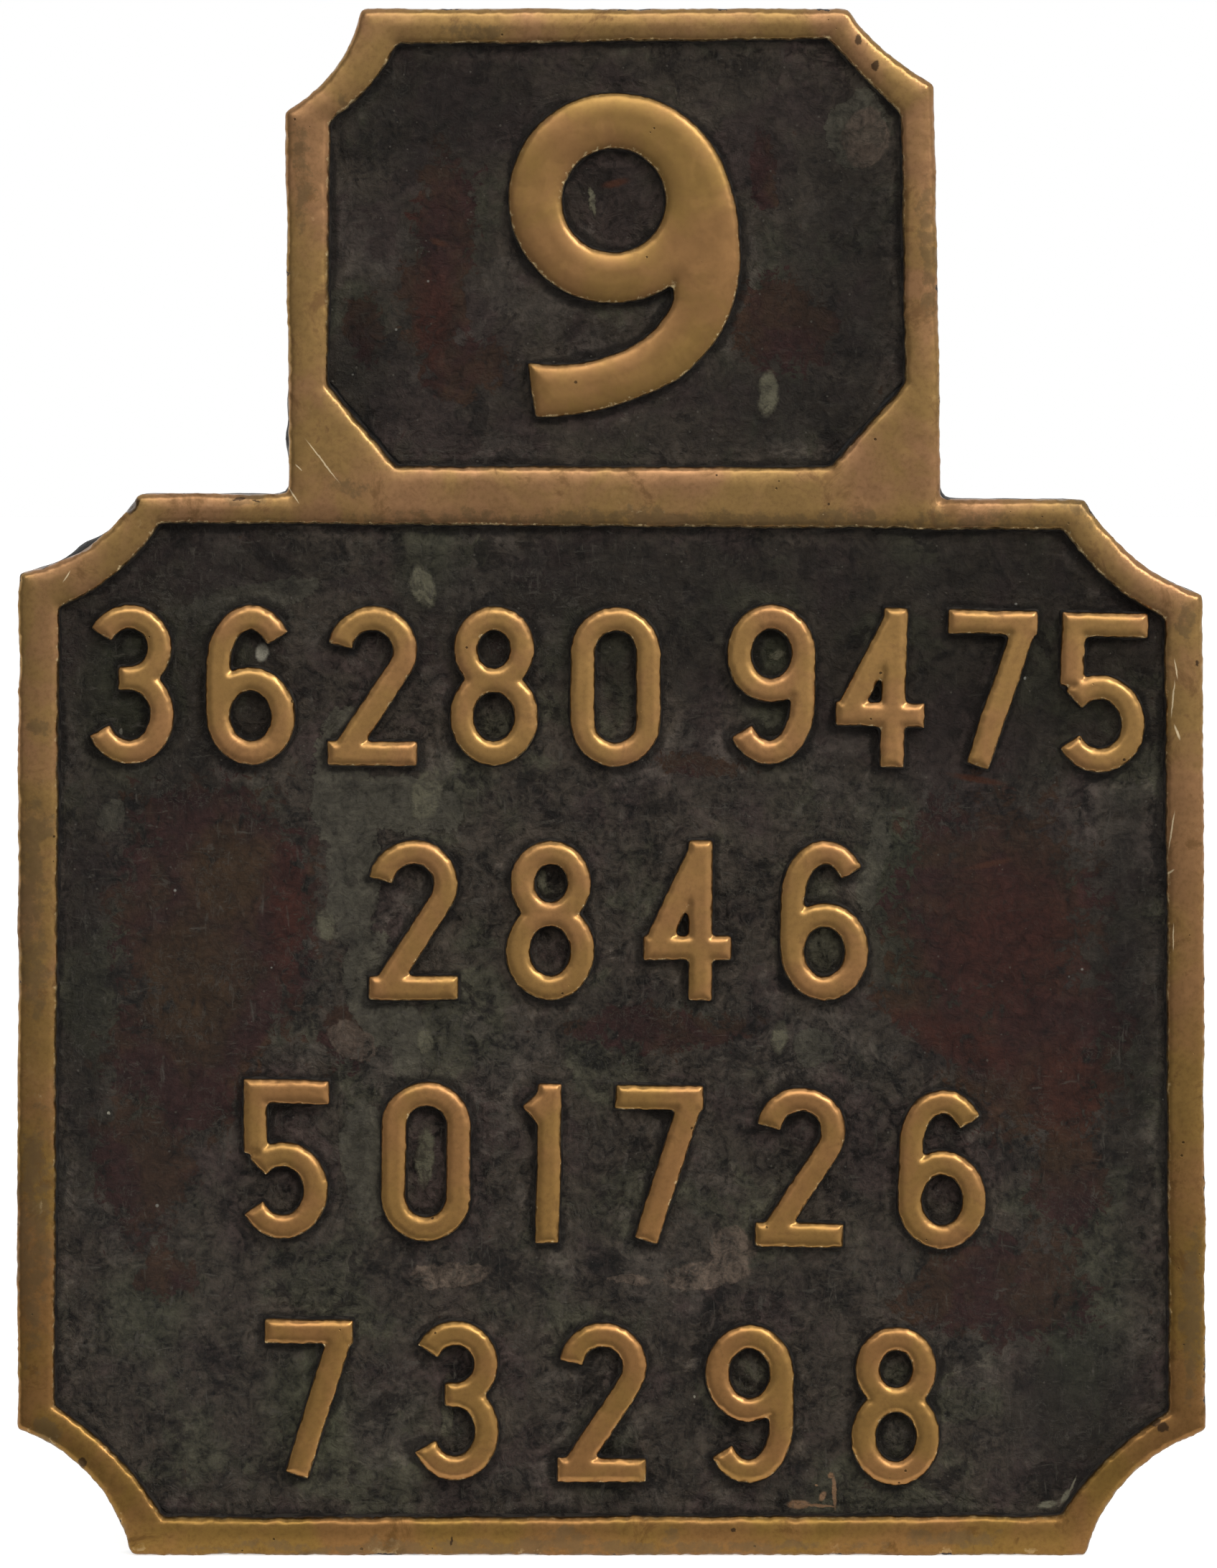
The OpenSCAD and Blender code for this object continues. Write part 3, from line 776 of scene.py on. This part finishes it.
tone = blend(tree, grade(tree, broad, 0.47, 0.38), tone, OLIVE_BLACK)
tone = blend(tree, grade(tree, flakes, 0.565, 0.575, 0, 0.45), tone, FLAKED_GREY)
tone = blend(tree, grade(tree, islands, 0.43, 0.4, 0, 0.7), tone, PITCH_BLACK)
tone = layer(tree, tone, patches(tree, shake, GREEN_TINTS, 0.6), 0.6, GREEN_BLACK)

# The brown undercoat, where the black has gone: it mixes with the black at its borders.
near_bare = patches(tree, make_ragged(tree, mm, amount=3.4, size=7), UNDERCOAT, 0.6)
bare = grade(tree, times_plus(tree, speckled, 3.0, near_bare), 0.5, 0.62)
warm = grade(tree, noise(tree, mm, 7, detail=5, rough=0.6, twist=0.5), 0.42, 0.58)
brown = blend(tree, warm, PLUM_BROWN, WARM_BROWN)
brown = blend(tree, patches(tree, shake, OLD_ORANGE, 0.5), brown, ORANGE_BROWN)
brown = layer(tree, brown, patches(tree, shake, DEEP_RED, 0.6), 0.85, RED_BROWN)
tone = blend(tree, bare, tone, brown)

# Grey-green bloom and flesh-coloured flakes lie over both.
BLOOM_GREY = (0.066, 0.059, 0.042)
FLESH = (0.095, 0.069, 0.05)
near_grey = patches(tree, make_ragged(tree, mm, amount=1.8, size=4), GREY_STREAKS, 0.35)
grey = grade(tree, times_plus(tree, speckled, 1.2, near_grey), 0.5, 0.58)
tone = layer(tree, tone, grey, grade(tree, speckle, 0.35, 0.55, 0.6, 0.95), BLOOM_GREY)
flesh = patches(tree, make_ragged(tree, mm, amount=1.2, size=2.4), FLESH_FLAKES, 0.07)
tone = layer(tree, tone, flesh, grade(tree, speckle, 0.35, 0.6, 0.55, 1), FLESH)

# Light and dark mottling: weaker on bare, grey, darker and smooth paint, and lighter in the
# residue that polish leaves a little way off the raised work.
MIDDLE = 0.495
CONTRAST = 12.5
LIGHTNESS = 1.25
DARKEST = 0.25
mottle = add_up(tree, [
    (noise(tree, mm, 3.6, detail=5, rough=0.62, twist=0.8), 0.3), (speckle, 0.26),
    (noise(tree, mm, 1.3, detail=4, rough=0.62, twist=1.4), 0.32), (fine, 0.12),
])
# Darker patches, most of them along the top and sides of the panels.
black = patches(tree, shake, DARKER_BY_BORDER, 0.5)
smooth = patches(tree, mm, SMOOTH_PAINT, 0.3)
calm = 0.0
for mask in (bare, grey, black, smooth):
    calm = maths(tree, "MAXIMUM", calm, mask)
calm = times_plus(tree, calm, -0.5, 1.1)
light = times(tree, minus(tree, mottle, MIDDLE), CONTRAST)
light = times_plus(tree, light, calm, LIGHTNESS)
light = times(tree, light, times_plus(tree, black, -0.42, 1.0))
light = maths(tree, "MAXIMUM", light, DARKEST)
nearness = add_node(tree, "ShaderNodeAttribute", attribute_name="wall_nearness").outputs["Fac"]
shaken = times_plus(tree, minus(tree, flakes, 0.5), 1.5, nearness)
residue = times(tree, grade(tree, shaken, 0.25, 0.7), grade(tree, shaken, 0.93, 0.85))
light = times(tree, light, times_plus(tree, residue, 0.35, 1.0))
tone = add_node(
    tree, "ShaderNodeVectorMath", {0: tone, "Scale": light}, operation="SCALE"
).outputs[0]

# Pale spots, chips and marks of other paint, and beside the walls the black that is left
# there, darkened further by painted shade.
PALE_GREEN = (0.17, 0.155, 0.1)
RED_PAINT = (0.08, 0.03, 0.016)
BARE_COPPER = (0.33, 0.19, 0.1)
CREAM = (0.24, 0.22, 0.15)
OFF_WHITE = (0.42, 0.39, 0.3)
BLACK_AND_SHADE_BY_WALLS = (0.011, 0.0085, 0.007)
pale = patches(tree, make_ragged(tree, mm, amount=0.7, size=1.3), PALE_SPOTS, 0.2)
tone = layer(tree, tone, pale, grade(tree, speckle, 0.4, 0.56, 0.35, 1), PALE_GREEN)
tight = make_ragged(tree, mm, amount=0.2, size=0.6)
for marks, softness, colour in (
    (RED_MARKS, 0.5, RED_PAINT), (COPPER_CHIPS, 0.3, BARE_COPPER),
    (CREAM_CHIPS, 0.35, CREAM), (WHITE_CHIPS, 0.3, OFF_WHITE),
):
    tone = blend(tree, patches(tree, tight, marks, softness), tone, colour)
# Painted shade over black paint: darker the nearer the walls.
tone = layer(tree, tone, grade(tree, shaken, 0.8, 1.0), 0.6, BLACK_AND_SHADE_BY_WALLS)


def specks_of(size, share, largest):
    """Small round specks, one to a cell of this size, of which only a share shows."""
    away, luck = cells(tree, mm, size)
    reach = grade(tree, luck, 1 - share, 1.0, 0, largest)
    return grade(tree, minus(tree, reach, away), -0.02, 0.03)


# Specks, worm-like crinkles, brush scuffs and the finest wear, which show in the light.
GREY_SPECK = (0.14, 0.125, 0.1)
WHITE_SPECK = (0.36, 0.35, 0.3)
CRINKLE_GREY = (0.11, 0.098, 0.078)
SCUFF_GREY = (0.1, 0.088, 0.07)
DUST = (0.08, 0.066, 0.05)
CREVICE = (0.006, 0.0045, 0.003)
tone = layer(tree, tone, specks_of(size=0.7, share=0.2, largest=0.17), 0.6, GREY_SPECK)
tone = layer(tree, tone, specks_of(size=2.4, share=0.14, largest=0.07), 0.8, WHITE_SPECK)
rough = times_plus(tree, smooth, -0.7, 1.0)
worm = minus(tree, noise(tree, mm, 1.6, detail=4, rough=0.6, twist=1.6), 0.5)
worm = maths(tree, "ABSOLUTE", worm)
worm = times(tree, grade(tree, worm, 0.0, 0.03, 1, 0), grade(tree, islands, 0.45, 0.6))
tone = layer(tree, tone, times(tree, worm, rough), 0.6, CRINKLE_GREY)
brushed = maths(
    tree, "MAXIMUM",
    noise(tree, mm, 0.6, detail=4, rough=0.65, twist=0.8, stretch=(4, 4, 1)),
    noise(tree, mm, 0.6, detail=4, rough=0.65, twist=0.8, stretch=(1, 4, 5)),
)
scuff = times(tree, grade(tree, brushed, 0.57, 0.7), grade(tree, coarse, 0.42, 0.56))
tone = layer(tree, tone, times(tree, scuff, rough), 0.75, SCUFF_GREY)
tone = layer(tree, tone, grade(tree, fine, 0.58, 0.74, 0, 0.45), rough, DUST)
tone = layer(tree, tone, grade(tree, fine, 0.43, 0.3, 0, 0.4), rough, CREVICE)
tree.links.new(tone, shader.inputs["Base Color"])
tree.links.new(grade(tree, coarse, 0.35, 0.65, 0.52, 0.36), shader.inputs["Roughness"])
ring = grade(tree, shaken, 0.5, 0.7)
height = add_up(tree, [
    (coarse, 1.3), (fine, 0.35), (crinkle, 1.1), (worm, 0.12), (grey, 0.25), (flesh, 0.2),
    (bare, -0.12), (pale, 0.35), (ring, -0.2),
])
set_relief(tree, shader, height, depth=0.75)
for sheet, node in ((legend_paint, "legend_panel_paint"), (number_paint, "number_panel_paint")):
    sheet.data.materials.append(paint)
    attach(sheet, "root")
    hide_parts(node)


# Two forged iron bolts that hold the ears to the lever, with hexagon heads chamfered in a
# lathe and a Whitworth thread at the nut end. Spanners have rounded their corners.
BOLT_Y = 12.0  # y and z of the bolts' axes, in mm
BOLT_Z = (-32.0, 32.0)
BOLT_R = 3.95
HEAD_FACE = -25.8  # x of the faces along a bolt, from its head to its tip
WASHER_OUT = 19.0
NUT_FACE = 26.9
BOLT_TIP = 29.9
PITCH = 1.411
THREAD_DEPTH = 0.86


def turned(profile):
    """A solid turned on each bolt's axis, from (x, radius) pairs in mm."""
    bodies = []
    for z in BOLT_Z:
        bpy.ops.object.select_all(action="DESELECT")
        bpy.ops.mesh.primitive_circle_add(
            vertices=64, radius=profile[0][1] * MM, fill_type="NGON",
            location=(profile[0][0] * MM, BOLT_Y * MM, z * MM), rotation=(0, math.pi / 2, 0),
        )
        bpy.ops.object.transform_apply(location=True, rotation=True, scale=True)
        bpy.ops.object.mode_set(mode="EDIT")
        bpy.ops.mesh.select_all(action="SELECT")
        for (x, radius), (next_x, next_radius) in zip(profile, profile[1:]):
            bpy.ops.mesh.extrude_region_move(
                TRANSFORM_OT_translate={"value": ((next_x - x) * MM, 0, 0)}
            )
            grow = next_radius / radius
            bpy.ops.transform.resize(
                value=(1, grow, grow), center_override=(next_x * MM, BOLT_Y * MM, z * MM)
            )
        bpy.ops.mesh.select_all(action="SELECT")
        bpy.ops.mesh.normals_make_consistent(inside=False)
        bpy.ops.object.mode_set(mode="OBJECT")
        bodies.append(bpy.context.object)
    join_to(bodies[0], bodies[1:])
    return bodies[0]


def trim(piece, profile):
    """Turns a piece down to a profile, as a lathe would."""
    envelope = turned(profile)
    work(piece, "BOOLEAN", operation="INTERSECT", solver="EXACT", object=envelope)
    bpy.data.objects.remove(envelope)


def cut_threads(start, end):
    """Threaded rods on the bolts' axes, screwed out of a V and sawn off square."""
    rods = []
    for z in BOLT_Z:
        first = start - PITCH
        edge = bpy.data.meshes.new("thread")
        edge.from_pydata(
            [(first * MM, (BOLT_R - THREAD_DEPTH) * MM, 0),
             ((first + PITCH / 2) * MM, BOLT_R * MM, 0),
             ((first + PITCH) * MM, (BOLT_R - THREAD_DEPTH) * MM, 0)],
            [(0, 1), (1, 2)], [],
        )
        rod = bpy.data.objects.new("thread", edge)
        rod.location = (0, BOLT_Y * MM, z * MM)
        bpy.context.scene.collection.objects.link(rod)
        work(rod, "SCREW", axis="X", screw_offset=PITCH * MM, steps=40, render_steps=40,
             iterations=math.ceil((end - start) / PITCH) + 2, use_merge_vertices=True)
        bpy.ops.object.select_all(action="DESELECT")
        rod.select_set(True)
        bpy.ops.object.transform_apply(location=True, rotation=True, scale=True)
        bpy.ops.object.mode_set(mode="EDIT")
        bpy.ops.mesh.select_all(action="SELECT")
        bpy.ops.mesh.remove_doubles(threshold=0.001 * MM)
        for x, across in ((start, -1), (end, 1)):
            bpy.ops.mesh.select_all(action="SELECT")
            bpy.ops.mesh.bisect(
                plane_co=(x * MM, 0, 0), plane_no=(across, 0, 0), use_fill=True, clear_outer=True
            )
        bpy.ops.mesh.select_all(action="SELECT")
        bpy.ops.mesh.normals_make_consistent(inside=False)
        bpy.ops.object.mode_set(mode="OBJECT")
        rods.append(rod)
    join_to(rods[0], rods[1:])
    return rods[0]


IRON_DARK = (0.05, 0.044, 0.039)
IRON_LIGHT = (0.12, 0.105, 0.09)
RUST = (0.1, 0.045, 0.02)
BARE_STEEL = (0.32, 0.28, 0.24)
GREASE = (0.014, 0.012, 0.01)
CORNER_R = 7.9  # just past the corners of heads and nuts: only washers reach farther out
iron, tree, shader = new_finish("oiled_iron", metallic=0.85, roughness=0.45, specular=0.4)
mm = place_in_mm(tree)
clouded = noise(tree, mm, 4, detail=6, rough=0.65)
tone = blend(tree, grade(tree, clouded, 0.38, 0.66), IRON_DARK, IRON_LIGHT)
rust = grade(tree, noise(tree, mm, 2.4, detail=7, rough=0.7, twist=0.4), 0.52, 0.64)
tone = layer(tree, tone, rust, 0.8, RUST)
place = add_node(tree, "ShaderNodeSeparateXYZ", {0: mm}).outputs
off_y = minus(tree, place[1], BOLT_Y)
off_z = minus(tree, maths(tree, "ABSOLUTE", place[2]), BOLT_Z[1])
corner = plus(tree, times(tree, off_y, off_y), times(tree, off_z, off_z))
corner = maths(tree, "SQRT", corner)
uneven = times_plus(tree, noise(tree, mm, 1.5, detail=5, rough=0.7), 1.2, corner)
bright = times(tree, grade(tree, uneven, 7.7, 8.1), maths(tree, "LESS_THAN", corner, CORNER_R))
tone = layer(tree, tone, bright, 0.75, BARE_STEEL)
greased = grade(tree, noise(tree, mm, 7, detail=4, rough=0.6), 0.55, 0.65)
tone = layer(tree, tone, greased, 0.7, GREASE)
tree.links.new(tone, shader.inputs["Base Color"])
rough = times_plus(tree, rust, 0.25, grade(tree, clouded, 0.3, 0.7, 0.34, 0.5))
tree.links.new(rough, shader.inputs["Roughness"])
tree.links.new(grade(tree, rust, 0, 1, 0.9, 0.35), shader.inputs["Metallic"])
forged = noise(tree, mm, 0.6, detail=4, rough=0.6)
set_relief(tree, shader, times_plus(tree, rust, 0.4, forged), depth=0.06)

THREAD_FROM = NUT_FACE - 2
IRON_VOXEL = 0.24
bolts = take_copy("forged_bolts", ["lever_bolts"])
trim(bolts, [(HEAD_FACE, 6.3), (HEAD_FACE + 0.85, 7.8), (-WASHER_OUT, 7.8),
             (0.4 - WASHER_OUT, 4.5), (THREAD_FROM, 4.5)])
rods = cut_threads(THREAD_FROM - 0.5, BOLT_TIP)
trim(rods, [(THREAD_FROM - 1, 5), (BOLT_TIP - 1.2, 4.4), (BOLT_TIP + 0.01, 3.15)])
join_to(bolts, [rods])
work(bolts, "REMESH", mode="VOXEL", voxel_size=IRON_VOXEL * MM)
work(bolts, "SMOOTH", factor=0.5, iterations=2)
roughen(bolts, size=2.5, depth=2, height=0.12)
finish_mesh(bolts)


# The two nuts on the far side of the lever, hexagons of the same iron as the bolts. They
# are chamfered on both faces, and a spanner has worn their corners.
nuts = take_copy("chamfered_nuts", ["bolt_nuts"])
trim(nuts, [(WASHER_OUT, 6.4), (WASHER_OUT + 0.8, 7.8), (NUT_FACE - 0.8, 7.8), (NUT_FACE, 6.4)])
work(nuts, "REMESH", mode="VOXEL", voxel_size=IRON_VOXEL * MM)
work(nuts, "SMOOTH", factor=0.5, iterations=3)
roughen(nuts, size=2.5, depth=2, height=0.12)
finish_mesh(nuts)


# Four washers punched from iron sheet, one under each head and nut. Their edges are
# rounded, and old oil has blackened them as it has the bolts.
washers = take_copy("punched_washers", ["bolt_washers"])
work(washers, "REMESH", mode="VOXEL", voxel_size=0.3 * MM)
work(washers, "SMOOTH", factor=0.5, iterations=2)
roughen(washers, size=3, depth=1, height=0.1)
finish_mesh(washers)
for piece, node in ((bolts, "lever_bolts"), (nuts, "bolt_nuts"), (washers, "bolt_washers")):
    piece.data.materials.clear()
    piece.data.materials.append(iron)
    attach(piece, "root")
    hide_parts(node)


# The studio: a pale floor, a soft white surround, and a camera that looks straight at
# the face from slightly above.
FLOOR = -76.2  # in mm, as everything on the plate; the studio itself is in metres
FLOOR_SIZE = 8.0
FLOOR_FRONT = -0.02
FLOOR_GLOW = 0.68  # lifts the floor to white in the picture, without lighting the plate
FILL_LIGHT = 0.55  # what the surround lights the plate with
SEEN_WHITE = 1.0  # the surround as the camera sees it
bpy.ops.object.select_all(action="DESELECT")
bpy.ops.mesh.primitive_plane_add(
    size=FLOOR_SIZE, location=(0, FLOOR_FRONT + FLOOR_SIZE / 2, FLOOR * MM)
)
floor = bpy.context.object
floor.name = "studio_floor"
pale_floor = bpy.data.materials.new("pale_floor")
pale_floor.use_nodes = True
tree = pale_floor.node_tree
shader = tree.nodes["Principled BSDF"]
shader.inputs["Base Color"].default_value = (0.8, 0.8, 0.79, 1)
shader.inputs["Roughness"].default_value = 0.9
shader.inputs["Specular IOR Level"].default_value = 0.1
rays = add_node(tree, "ShaderNodeLightPath").outputs
seen = maths(tree, "MAXIMUM", rays["Is Camera Ray"], rays["Is Glossy Ray"])
seen = maths(tree, "MAXIMUM", seen, rays["Is Transmission Ray"])
shader.inputs["Emission Color"].default_value = (1, 1, 1, 1)
tree.links.new(times(tree, seen, FLOOR_GLOW), shader.inputs["Emission Strength"])
floor.data.materials.append(pale_floor)

world = bpy.data.worlds.new("soft_white_surround")
bpy.context.scene.world = world
world.use_nodes = True
tree = world.node_tree
rays = add_node(tree, "ShaderNodeLightPath").outputs
seen = maths(tree, "MAXIMUM", rays["Is Camera Ray"], rays["Is Transmission Ray"])
surround = tree.nodes["Background"]
surround.inputs["Color"].default_value = (1, 1, 1, 1)
looking = add_node(tree, "ShaderNodeTexCoord").outputs["Generated"]
looking = add_node(tree, "ShaderNodeSeparateXYZ", {0: looking}).outputs

# What the brass mirrors: white behind the plate, and before it a room that is brighter
# towards the upper right.
window = times(tree, plus(tree, looking[0], looking[2]), 0.7)
room = maths(tree, "MAXIMUM", grade(tree, looking[1], -0.3, 0.05),
             grade(tree, window, -0.6, 0.8, 0.32, 0.9))
strength = add_node(
    tree, "ShaderNodeMix", {0: rays["Is Glossy Ray"], 2: FILL_LIGHT, 3: room}, data_type="FLOAT"
).outputs[0]
strength = add_node(
    tree, "ShaderNodeMix", {0: seen, 2: strength, 3: SEEN_WHITE}, data_type="FLOAT"
).outputs[0]
tree.links.new(strength, surround.inputs["Strength"])


def soft_lamp(name, place, size, power):
    """A square soft box that points at the plate."""
    place = Vector(place)
    lamp = bpy.data.lights.new(name, "AREA")
    lamp.shape = "SQUARE"
    lamp.size = size
    lamp.energy = power
    holder = bpy.data.objects.new(name, lamp)
    bpy.context.scene.collection.objects.link(holder)
    holder.location = place
    holder.rotation_euler = (-place).to_track_quat("-Z", "Y").to_euler()


soft_lamp("key_soft_box", place=(0.55, -1.0, 0.62), size=0.36, power=5.0)
soft_lamp("front_soft_box", place=(-0.1, -1.2, 0.75), size=0.7, power=4.0)

FRAME_HIGH = 154.17  # mm of the plate's plane that the picture shows from top to bottom
CAMERA_AWAY = 0.85  # in metres
CAMERA_RISE = math.radians(2.5)
SENSOR = 36  # in mm
aim = Vector((-0.28 * MM, FACE * MM, 0.106 * MM))
camera = bpy.data.cameras.new("camera")
camera.sensor_fit = "VERTICAL"
camera.sensor_height = SENSOR
camera.lens = SENSOR * CAMERA_AWAY / (FRAME_HIGH * MM)
stand = bpy.data.objects.new("camera", camera)
bpy.context.scene.collection.objects.link(stand)
stand.location = aim + CAMERA_AWAY * Vector((0, -math.cos(CAMERA_RISE), math.sin(CAMERA_RISE)))
stand.rotation_euler = (math.pi / 2 - CAMERA_RISE, 0, 0)
bpy.context.scene.camera = stand
bpy.context.scene.view_settings.view_transform = "Standard"
